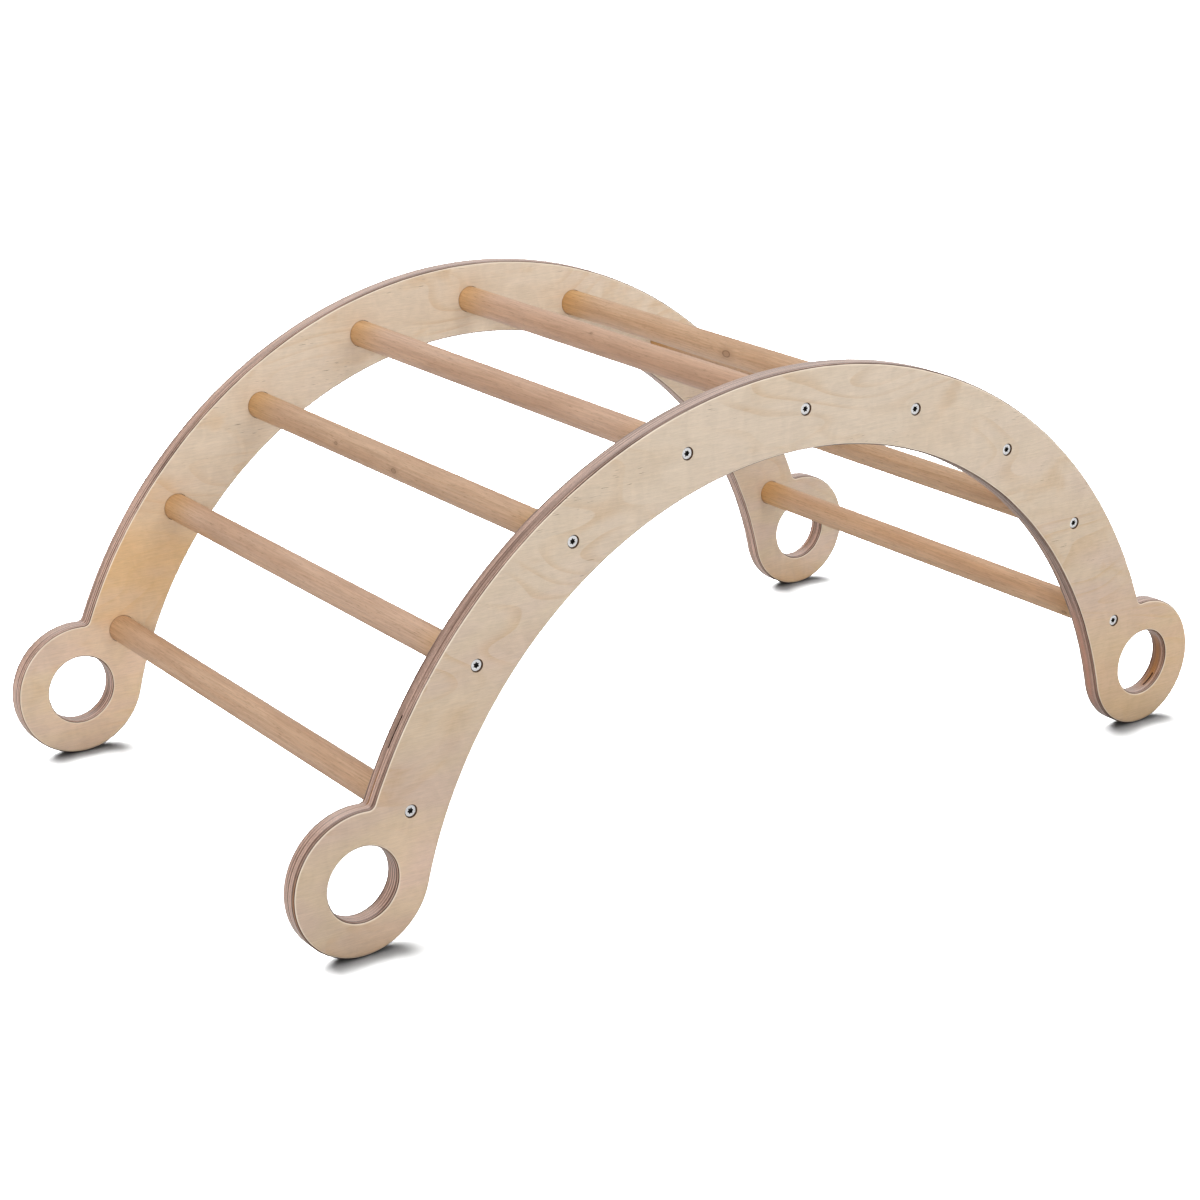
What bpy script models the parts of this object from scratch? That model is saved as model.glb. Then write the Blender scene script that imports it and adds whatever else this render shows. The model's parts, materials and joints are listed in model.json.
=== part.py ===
"""Climbing arch and rocker for children: two plywood side panels, nine rungs and eighteen screws.

Lengths are in metres. +X runs along the arch, +Y across it from the near panel to the far panel,
and +Z is up. The origin is on the floor, under the middle of the arch. The arch stands on the
rings at the ends of its panels.
"""
import math

import bmesh
import bpy

# Driving dimensions
OUTER_RADIUS = 0.450        # upper edge of a side panel
INNER_RADIUS = 0.380        # lower edge of a side panel, with the same centre
RING_RADIUS = 0.0615        # outside of the round foot at each end of a panel
RING_HOLE_RADIUS = 0.031    # hand hole in a foot
ARC_DROP = 0.102            # height of the ring centres above the centre of the arcs
NOTCH_RADIUS = 0.005        # inside corner where the upper edge meets a ring
PANEL_THICKNESS = 0.018
ROUNDOVER = 0.003           # rounding of every long edge of a panel
WIDTH = 0.528               # over both panels
RUNG_COUNT = 9
RUNG_RADIUS = 0.0125
RUNG_STEP = math.radians(17.1)
RUNG_CHAMFER = 0.001
SOCKET_DEPTH = 0.009        # blind seat of a rung in the inner face of a panel
GAP = 0.0003                # clearance between pieces that touch

# Screw, countersunk, with a six-lobed recess
HEAD_RADIUS = 0.005
HEAD_RIM = 0.0004
SHANK_RADIUS = 0.0022
SCREW_LENGTH = 0.050
TIP_LENGTH = 0.005
TIP_RADIUS = 0.0004
HEAD_SINK = 0.0012          # head's top below the panel's outer face
COUNTERBORE_RADIUS = 0.0056
RECESS_DEPTH = 0.002
RECESS_RADIUS = 0.0023      # mean radius of the recess
RECESS_LOBE = 0.0004        # how far its six lobes stand out from the mean
RECESS_LOBES = 6
PILOT_OVERRUN = 0.002       # how far a rung's pilot hole runs past the screw's tip

# Facets
ARC_STEP = math.radians(2.5)
RING_STEP = math.radians(8.0)
NOTCH_STEP = math.radians(25.0)
ROUNDOVER_SEGMENTS = 2
RUNG_SEGMENTS = 24
SCREW_SEGMENTS = 20
RECESS_SEGMENTS = 24
WELD_DISTANCE = 0.00001
CUT_OVERRUN = 0.002         # how far a cutter stands out of the face it enters
SHARP_ANGLE = math.radians(30.0)

# Worked out from the above
RING_CENTRE_DISTANCE = INNER_RADIUS + RING_RADIUS
RING_X = math.sqrt(RING_CENTRE_DISTANCE ** 2 - ARC_DROP ** 2)
RING_Z = RING_RADIUS
ARC_Z = RING_Z - ARC_DROP
RUNG_CIRCLE_RADIUS = (INNER_RADIUS + OUTER_RADIUS) / 2
PANEL_Y = (WIDTH - PANEL_THICKNESS) / 2
INNER_FACE_Y = WIDTH / 2 - PANEL_THICKNESS
RUNG_LENGTH = 2 * (INNER_FACE_Y + SOCKET_DEPTH - GAP)
HEAD_Y = WIDTH / 2 - HEAD_SINK
CONE_HEIGHT = HEAD_RADIUS - SHANK_RADIUS
PILOT_RADIUS = SHANK_RADIUS + GAP


def clear_scene():
    for item in list(bpy.data.objects):
        bpy.data.objects.remove(item, do_unlink=True)


def new_collection(name):
    collection = bpy.data.collections.new(name)
    bpy.context.scene.collection.children.link(collection)
    return collection


def make_material(name, colour, roughness, metallic=0.0):
    material = bpy.data.materials.new(name)
    material.use_nodes = True
    shader = material.node_tree.nodes["Principled BSDF"]
    shader.inputs["Base Color"].default_value = (*colour, 1.0)
    shader.inputs["Roughness"].default_value = roughness
    shader.inputs["Metallic"].default_value = metallic
    return material


def evaluated_mesh(item, name):
    """The mesh of an object with its modifiers applied. The object itself is removed."""
    bpy.context.view_layer.update()
    depsgraph = bpy.context.evaluated_depsgraph_get()
    mesh = bpy.data.meshes.new_from_object(item.evaluated_get(depsgraph))
    mesh.name = name
    bpy.data.objects.remove(item, do_unlink=True)
    return mesh


def weld(mesh):
    shape = bmesh.new()
    shape.from_mesh(mesh)
    bmesh.ops.remove_doubles(shape, verts=shape.verts, dist=WELD_DISTANCE)
    bmesh.ops.recalc_face_normals(shape, faces=shape.faces)
    shape.to_mesh(mesh)
    shape.free()


def shade(mesh):
    mesh.shade_smooth()
    mesh.set_sharp_from_angle(angle=SHARP_ANGLE)


def add_piece(name, mesh, material, collection, location=(0, 0, 0), rotation=(0, 0, 0)):
    """One sub-part. Pieces that share a mesh share its material too."""
    piece = bpy.data.objects.new(name, mesh)
    piece.location = location
    piece.rotation_euler = rotation
    if not mesh.materials:
        mesh.materials.append(material)
    collection.objects.link(piece)
    return piece


def arc(centre, radius, start, end, step):
    """Points of an arc. Angles run from +Z towards +X, and both ends are included."""
    count = max(1, math.ceil(abs(end - start) / step))
    points = []
    for i in range(count + 1):
        angle = start + (end - start) * i / count
        points.append((centre[0] + radius * math.sin(angle), centre[1] + radius * math.cos(angle)))
    return points


def direction(origin, target):
    """Angle from +Z towards +X of the line from one point to another."""
    return math.atan2(target[0] - origin[0], target[1] - origin[1])


def panel_outline(inset):
    """Closed outline of a side panel in X and Z, moved into the wood by inset."""
    arcs_centre = (0.0, ARC_Z)
    ring_centre = (RING_X, RING_Z)
    ring_angle = direction(arcs_centre, ring_centre)

    # The notch arc touches the outside of the upper edge and the outside of the ring.
    notch_to_arcs = OUTER_RADIUS + NOTCH_RADIUS
    notch_to_ring = RING_RADIUS + NOTCH_RADIUS
    cosine = (notch_to_arcs ** 2 + RING_CENTRE_DISTANCE ** 2 - notch_to_ring ** 2)
    cosine /= 2 * notch_to_arcs * RING_CENTRE_DISTANCE
    notch_angle = ring_angle - math.acos(cosine)
    notch_centre = (notch_to_arcs * math.sin(notch_angle), ARC_Z + notch_to_arcs * math.cos(notch_angle))
    ring_start = direction(ring_centre, notch_centre)
    ring_end = direction(ring_centre, arcs_centre) + 2 * math.pi

    # The right half, from the middle of the upper edge to the middle of the lower one, then its mirror
    # image. The ring has a point at its very bottom, where it stands.
    half = arc(arcs_centre, OUTER_RADIUS - inset, 0, notch_angle, ARC_STEP)
    half += arc(notch_centre, NOTCH_RADIUS + inset, notch_angle + math.pi, ring_start + math.pi, NOTCH_STEP)[1:]
    half += arc(ring_centre, RING_RADIUS - inset, ring_start, math.pi, RING_STEP)[1:]
    half += arc(ring_centre, RING_RADIUS - inset, math.pi, ring_end, RING_STEP)[1:]
    half += arc(arcs_centre, INNER_RADIUS + inset, ring_angle, 0, ARC_STEP)[1:]
    return half + [(-x, z) for x, z in reversed(half[1:-1])]


def ring_hole_outline(side, inset):
    return arc((side * RING_X, RING_Z), RING_HOLE_RADIUS + inset, 0, 2 * math.pi, RING_STEP)[:-1]


def add_outline(curve, points):
    spline = curve.splines.new("POLY")
    spline.points.add(len(points) - 1)
    for point, (x, z) in zip(spline.points, points):
        point.co = (x, z, 0.0, 1.0)
    spline.use_cyclic_u = True


def panel_mesh():
    """A side panel centred on its own thickness, with rounded edges and no sockets yet."""
    curve = bpy.data.curves.new("side_panel_outline", "CURVE")
    curve.dimensions = "2D"
    curve.fill_mode = "BOTH"
    curve.extrude = PANEL_THICKNESS / 2 - ROUNDOVER
    curve.bevel_depth = ROUNDOVER
    curve.bevel_resolution = ROUNDOVER_SEGMENTS - 1
    add_outline(curve, panel_outline(ROUNDOVER))
    for side in (-1, 1):
        add_outline(curve, ring_hole_outline(side, ROUNDOVER))
    outline = bpy.data.objects.new("side_panel_outline", curve)
    bpy.context.scene.collection.objects.link(outline)
    mesh = evaluated_mesh(outline, "side_panel")
    bpy.data.curves.remove(curve)
    weld(mesh)
    return mesh


def turned_mesh(name, profile, segments):
    """A solid turned about Z from (radius, height) points that run from top to bottom."""
    outline = bpy.data.meshes.new(name + "_profile")
    points = [(radius, 0.0, height) for radius, height in profile]
    outline.from_pydata(points, [(i, i + 1) for i in range(len(points) - 1)], [])
    item = bpy.data.objects.new(name, outline)
    bpy.context.scene.collection.objects.link(item)
    screw = item.modifiers.new("turn", "SCREW")
    screw.steps = segments
    screw.render_steps = segments
    screw.use_merge_vertices = True
    screw.merge_threshold = WELD_DISTANCE
    mesh = evaluated_mesh(item, name)
    bpy.data.meshes.remove(outline)
    weld(mesh)
    return mesh


def rung_positions():
    """X and Z of each rung's centre, from left to right."""
    places = []
    for i in range(RUNG_COUNT):
        angle = (i - (RUNG_COUNT - 1) / 2) * RUNG_STEP
        x = RUNG_CIRCLE_RADIUS * math.sin(angle)
        z = ARC_Z + RUNG_CIRCLE_RADIUS * math.cos(angle)
        places.append((x, z))
    return places


def socket_cutter_mesh():
    """Everything cut into a panel for one rung, with Z = 0 on the panel's outer face, Z up outwards."""
    seat_z = -HEAD_SINK
    cone_end_z = seat_z - HEAD_RIM - CONE_HEIGHT
    socket_floor_z = SOCKET_DEPTH - PANEL_THICKNESS
    inner_z = -PANEL_THICKNESS - CUT_OVERRUN
    profile = [
        (0.0, CUT_OVERRUN),
        (COUNTERBORE_RADIUS, CUT_OVERRUN),
        (COUNTERBORE_RADIUS, seat_z - HEAD_RIM),
        (HEAD_RADIUS + GAP, seat_z - HEAD_RIM - GAP),
        (PILOT_RADIUS, cone_end_z - GAP),
        (PILOT_RADIUS, socket_floor_z),
        (RUNG_RADIUS + GAP, socket_floor_z),
        (RUNG_RADIUS + GAP, inner_z),
        (0.0, inner_z),
    ]
    return turned_mesh("socket_cutter", profile, RUNG_SEGMENTS)


def rung_mesh():
    """A rung along Z, with a pilot hole for a screw in each end."""
    half = RUNG_LENGTH / 2
    pilot_end = HEAD_Y - SCREW_LENGTH - PILOT_OVERRUN
    upper = [
        (0.0, pilot_end),
        (PILOT_RADIUS, pilot_end + PILOT_RADIUS),
        (PILOT_RADIUS, half),
        (RUNG_RADIUS - RUNG_CHAMFER, half),
        (RUNG_RADIUS, half - RUNG_CHAMFER),
    ]
    lower = [(radius, -height) for radius, height in reversed(upper)]
    return turned_mesh("rung", upper + lower, RUNG_SEGMENTS)


def recess_cutter_mesh():
    """Six-lobed prism that cuts the driver recess, with Z = 0 on the head's top."""
    curve = bpy.data.curves.new("recess_outline", "CURVE")
    curve.dimensions = "2D"
    curve.fill_mode = "BOTH"
    curve.extrude = (RECESS_DEPTH + CUT_OVERRUN) / 2
    points = []
    for i in range(RECESS_SEGMENTS):
        angle = 2 * math.pi * i / RECESS_SEGMENTS
        radius = RECESS_RADIUS + RECESS_LOBE * math.cos(RECESS_LOBES * angle)
        points.append((radius * math.cos(angle), radius * math.sin(angle)))
    add_outline(curve, points)
    item = bpy.data.objects.new("recess_outline", curve)
    bpy.context.scene.collection.objects.link(item)
    mesh = evaluated_mesh(item, "recess_cutter")
    bpy.data.curves.remove(curve)
    weld(mesh)
    return mesh


def screw_mesh(cutters):
    """A countersunk screw along Z, pointing down, with Z = 0 on its head's top."""
    profile = [
        (0.0, 0.0),
        (HEAD_RADIUS, 0.0),
        (HEAD_RADIUS, -HEAD_RIM),
        (SHANK_RADIUS, -HEAD_RIM - CONE_HEIGHT),
        (SHANK_RADIUS, TIP_LENGTH - SCREW_LENGTH),
        (TIP_RADIUS, -SCREW_LENGTH),
        (0.0, -SCREW_LENGTH),
    ]
    blank = bpy.data.objects.new("screw_blank", turned_mesh("screw", profile, SCREW_SEGMENTS))
    bpy.context.scene.collection.objects.link(blank)
    cutter_height = (CUT_OVERRUN - RECESS_DEPTH) / 2
    cutter = add_cutter("recess_cutter", recess_cutter_mesh(), cutters, (0, 0, cutter_height), (0, 0, 0))
    cut = blank.modifiers.new("recess", "BOOLEAN")
    cut.operation = "DIFFERENCE"
    cut.solver = "EXACT"
    cut.object = cutter
    return evaluated_mesh(blank, "screw")


def add_cutter(name, mesh, collection, location, rotation):
    cutter = bpy.data.objects.new(name, mesh)
    cutter.location = location
    cutter.rotation_euler = rotation
    cutter.hide_render = True
    cutter.display_type = "WIRE"
    collection.objects.link(cutter)
    return cutter


def facing(side):
    """Rotation that turns local +Z outwards, to -Y on the near side or +Y on the far side."""
    return (-side * math.pi / 2, 0, 0)


def build():
    clear_scene()
    parts = new_collection("climbing_arch")
    screw_cutters = new_collection("screw_cutters")
    socket_cutters = new_collection("socket_cutters")

    birch_ply = make_material("birch_plywood", (0.62, 0.45, 0.29), 0.55)
    beech = make_material("beech_dowel", (0.60, 0.40, 0.26), 0.50)
    zinc = make_material("zinc_plated_steel", (0.68, 0.68, 0.70), 0.30, 1.0)

    sides = {"near": -1, "far": 1}
    places = rung_positions()

    cutter_mesh = socket_cutter_mesh()
    for side_name, side in sides.items():
        for number, (x, z) in enumerate(places, 1):
            name = f"socket_cutter_{side_name}_{number}"
            add_cutter(name, cutter_mesh, socket_cutters, (x, side * WIDTH / 2, z), facing(side))

    # The arch is symmetric, so the same panel turned about Z serves both sides.
    panel = panel_mesh()
    upright = (math.pi / 2, 0, 0)
    shade(panel)
    for side_name, side in sides.items():
        piece = add_piece(f"side_panel_{side_name}", panel, birch_ply, parts, (0, side * PANEL_Y, 0), upright)
        cut = piece.modifiers.new("sockets", "BOOLEAN")
        cut.operation = "DIFFERENCE"
        cut.solver = "EXACT"
        cut.operand_type = "COLLECTION"
        cut.collection = socket_cutters

    rung = rung_mesh()
    shade(rung)
    for number, (x, z) in enumerate(places, 1):
        add_piece(f"rung_{number}", rung, beech, parts, (x, 0, z), upright)

    screw = screw_mesh(screw_cutters)
    shade(screw)
    for side_name, side in sides.items():
        for number, (x, z) in enumerate(places, 1):
            name = f"screw_{side_name}_{number}"
            add_piece(name, screw, zinc, parts, (x, side * HEAD_Y, z), facing(side))


build()
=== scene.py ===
"""Looks of the climbing arch: lacquered birch plywood panels, turned beech rungs and zinc-plated screws.

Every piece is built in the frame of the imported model, in metres, with +Z up and the floor at Z = 0.
+X runs along the arch and +Y across it, from the near panel to the far panel.
"""

import json
import math

import bmesh
import bpy
import numpy as np
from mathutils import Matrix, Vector

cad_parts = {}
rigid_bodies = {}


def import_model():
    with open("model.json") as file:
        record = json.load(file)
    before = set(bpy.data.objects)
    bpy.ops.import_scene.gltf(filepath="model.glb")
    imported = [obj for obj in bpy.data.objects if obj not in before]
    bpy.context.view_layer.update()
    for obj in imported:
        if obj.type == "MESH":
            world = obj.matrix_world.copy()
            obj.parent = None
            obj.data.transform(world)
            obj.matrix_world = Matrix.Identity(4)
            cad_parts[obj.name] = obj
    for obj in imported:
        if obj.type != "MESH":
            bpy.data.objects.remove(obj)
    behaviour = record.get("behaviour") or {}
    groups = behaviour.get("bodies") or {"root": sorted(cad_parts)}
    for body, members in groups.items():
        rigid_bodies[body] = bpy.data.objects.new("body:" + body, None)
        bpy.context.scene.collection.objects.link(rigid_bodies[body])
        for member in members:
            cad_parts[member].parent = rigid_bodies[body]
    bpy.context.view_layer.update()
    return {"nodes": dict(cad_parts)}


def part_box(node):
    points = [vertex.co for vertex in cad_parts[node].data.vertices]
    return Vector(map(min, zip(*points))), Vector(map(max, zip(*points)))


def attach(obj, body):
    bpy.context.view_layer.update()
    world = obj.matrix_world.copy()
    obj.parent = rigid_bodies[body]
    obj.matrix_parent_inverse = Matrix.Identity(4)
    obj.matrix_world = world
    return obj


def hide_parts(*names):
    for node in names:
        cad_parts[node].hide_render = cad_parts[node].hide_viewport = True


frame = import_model()

# Sizes that the frame gives
RUNG_COUNT = sum(1 for node in frame["nodes"] if node.startswith("rung_"))
panel_low, panel_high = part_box("side_panel_near")
rung_low, rung_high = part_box("rung_1")
screw_low, screw_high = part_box("screw_near_1")
HALF_WIDTH = -panel_low.y
THICKNESS = panel_high.y - panel_low.y
INNER_FACE_Y = HALF_WIDTH - THICKNESS
RUNG_RADIUS = (rung_high.x - rung_low.x) / 2
RUNG_HALF_LENGTH = rung_high.y
HEAD_RADIUS = (screw_high.x - screw_low.x) / 2
HEAD_SINK = screw_low.y + HALF_WIDTH
SCREW_LENGTH = screw_high.y - screw_low.y

# Shape of a side panel
RING_RADIUS = 0.0615
RING_HOLE_RADIUS = 0.031
ARC_DROP = 0.102            # height of the ring centres above the centre of the arcs
NOTCH_RADIUS = 0.005
ROUNDOVER = 0.003
RING_X = panel_high.x - RING_RADIUS
RING_Z = RING_RADIUS
ARC_Z = RING_Z - ARC_DROP
OUTER_RADIUS = panel_high.z - ARC_Z
INNER_RADIUS = math.hypot(RING_X, ARC_DROP) - RING_RADIUS

# Seats and screws
SOCKET_GAP = 0.0004
SOCKET_DEPTH = RUNG_HALF_LENGTH - INNER_FACE_Y + SOCKET_GAP
RUNG_CHAMFER = 0.001
COUNTERBORE_RADIUS = 0.0056
HEAD_RIM = 0.0004
HEAD_ROUNDING = 0.00035
CORE_RADIUS = 0.0016
THREAD_RADIUS = 0.0023
THREAD_PITCH = 0.0022
THREAD_HALF_WIDTH = 0.22    # part of the pitch
PILOT_RADIUS = 0.0025
PILOT_OVERRUN = 0.002
TIP_LENGTH = 0.006
TIP_BLUNTNESS = 0.7         # power of the taper: 1 is a cone
RECESS_DEPTH = 0.0024
RECESS_RADIUS = 0.0023
RECESS_LOBE = 0.0004
RECESS_LOBES = 6
RECESS_TURN = math.pi / 3   # one lobe's share of a turn
GAP = 0.0003

NEAR_SCREW_SEED = 11        # how far each screw was turned home
FAR_SCREW_SEED = 12

PIECE_NAMES = ("panel_", "dowel_", "woodscrew_")

# Plywood
PLY_COUNT = 13
FACE_PLY = 0.0009
CORE_PLY = (THICKNESS - 2 * FACE_PLY) / (PLY_COUNT - 2)

# Finish and light
END_TINT_LENGTH = 0.075        # how far the warm tint at a rung's ends reaches in
FLOOR_BOUNCE = 0.037
FLOOR_EXPOSURE = 0.20
FLOOR_SUN = 80.0
FLOOR_SUN_ANGLE = math.radians(66.0)
FLOOR_SUN_DIRECTION = (0.03, -0.60, -1.0)
SKY_FRONT = 0.48
SKY_BACK = 0.62
SKY_OVERHEAD = 0.44
SKY_LEFT = -0.12
SKY_RIGHT = 0.06
FILL_SUN = 0.95
FILL_ANGLE = math.radians(16.0)
SOFT_BOX_WATTS = 12.0
SOFT_BOX_SIZE = 1.2
SOFT_BOX_PLACE = (0.5, -1.4, 2.1)
SOFT_BOX_AIM = (0.0, 0.0, 0.2)
FLOOR_SIZE = 30.0
FLOOR_DROP = 0.0002         # keeps the floor clear of the feet

# Camera
AZIMUTH = math.radians(-35.62)
ELEVATION = math.radians(19.05)
ROLL = math.radians(0.26)
CAMERA_AIM = (0.001, 0.027, 0.126)
CAMERA_DISTANCE = 2.4
LENS = 76.5                 # millimetres, as is the sensor
SENSOR = 36.0

# Gaps in the plies, where a strip of veneer is missing
GAP_REACH = 0.003
GAP_POINTS = 10
GAP_HEIGHT = 0.0015         # a whole ply, in the near panel
SLIT_HEIGHT = 0.0005        # a glue line that has opened, in the far panel
SLIT_DEPTH = 0.0021         # its place below the far panel's inner face

# Facets
ARC_STEP = math.radians(0.75)
RING_STEP = math.radians(3.0)
NOTCH_STEP = math.radians(8.0)
ROUNDOVER_SEGMENTS = 6
RUNG_SEGMENTS = 64
BORE_SEGMENTS = 48
SCREW_SEGMENTS = 32
THREAD_ROWS = 10            # rows of facets in each turn of the thread
RECESS_SEGMENTS = 96
SHARP_ANGLE = math.radians(35.0)
WELD_DISTANCE = 0.00001
CUT_OVERRUN = 0.002


# Shader nodes

class Shader:
    """Builds one material's nodes. Values are numbers, tuples or other nodes' sockets."""

    def __init__(self, name):
        self.material = bpy.data.materials.new(name)
        self.material.use_nodes = True
        self.tree = self.material.node_tree
        self.principled = self.tree.nodes["Principled BSDF"]

    def set(self, node, name, value):
        socket = node.inputs[name]
        if isinstance(value, bpy.types.NodeSocket):
            self.tree.links.new(value, socket)
        else:
            socket.default_value = value

    def add(self, kind, inputs=None, **settings):
        node = self.tree.nodes.new(kind)
        for name, value in settings.items():
            setattr(node, name, value)
        for name, value in (inputs or {}).items():
            self.set(node, name, value)
        return node

    def math(self, operation, a, b=0.0, clamp=False):
        node = self.add("ShaderNodeMath", {0: a, 1: b}, operation=operation, use_clamp=clamp)
        return node.outputs[0]

    def vector(self, operation, a, b=(0.0, 0.0, 0.0)):
        node = self.add("ShaderNodeVectorMath", {0: a, 1: b}, operation=operation)
        return node.outputs["Value" if operation in ("LENGTH", "DISTANCE", "DOT_PRODUCT") else "Vector"]

    def position(self):
        return self.add("ShaderNodeTexCoord").outputs["Object"]

    def split(self, vector):
        return self.add("ShaderNodeSeparateXYZ", {0: vector}).outputs

    def join(self, x, y, z):
        return self.add("ShaderNodeCombineXYZ", {0: x, 1: y, 2: z}).outputs[0]

    def noise(self, vector, scale=1.0, detail=2.0, roughness=0.5, distortion=0.0):
        inputs = {"Vector": vector, "Scale": scale, "Detail": detail, "Roughness": roughness,
                  "Distortion": distortion}
        return self.add("ShaderNodeTexNoise", inputs).outputs["Fac"]

    def ramp(self, value, low, high, to_low=0.0, to_high=1.0):
        """Maps value smoothly from low..high to to_low..to_high, and clamps it."""
        inputs = {"Value": value, "From Min": low, "From Max": high, "To Min": to_low, "To Max": to_high}
        node = self.add("ShaderNodeMapRange", inputs, interpolation_type="SMOOTHSTEP")
        return node.outputs["Result"]

    def mix(self, factor, a, b):
        node = self.add("ShaderNodeMix", data_type="RGBA")
        for index, value in ((0, factor), (6, a), (7, b)):
            if isinstance(value, bpy.types.NodeSocket):
                self.tree.links.new(value, node.inputs[index])
            elif isinstance(value, tuple):
                node.inputs[index].default_value = (*value, 1.0)
            else:
                node.inputs[index].default_value = value
        return node.outputs[2]

    def blend(self, factor, a, b):
        """a where factor is 0, b where it is 1, for single values."""
        node = self.add("ShaderNodeMix", {0: factor, 2: a, 3: b}, data_type="FLOAT")
        return node.outputs[0]

    def scale_colour(self, colour, amount):
        """The colour times a single value."""
        node = self.add("ShaderNodeVectorMath", operation="SCALE")
        self.tree.links.new(colour, node.inputs[0])
        self.set(node, "Scale", amount)
        return node.outputs[0]

    def finish(self, colour, roughness, height=None, bump_distance=0.0001, metallic=0.0, **extra):
        """Connects colour, roughness and relief. extra holds other inputs of the shader."""
        self.set(self.principled, "Base Color", colour)
        self.set(self.principled, "Roughness", roughness)
        self.set(self.principled, "Metallic", metallic)
        for name, value in extra.items():
            self.set(self.principled, name.replace("_", " "), value)
        if height is not None:
            inputs = {"Height": height, "Distance": bump_distance, "Strength": 1.0}
            bump = self.add("ShaderNodeBump", inputs)
            self.tree.links.new(bump.outputs["Normal"], self.principled.inputs["Normal"])
        return self.material


# Materials

FACE_PALE = (0.768, 0.634, 0.492)
FACE_YELLOW = (0.690, 0.525, 0.362)
FACE_PINK = (0.675, 0.500, 0.385)
FACE_LINE = (0.600, 0.370, 0.170)
FACE_AMBER = (0.760, 0.470, 0.215)
FACE_EDGE = (0.900, 0.770, 0.620)
CORE_LIGHT = (0.740, 0.478, 0.370)
CORE_DARK = (0.235, 0.120, 0.078)
CORE_AMBER = (0.430, 0.175, 0.040)
CORE_RED = (0.640, 0.320, 0.215)
CORE_SHEEN = (0.860, 0.740, 0.680)
GLUE = (0.070, 0.028, 0.010)


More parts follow.
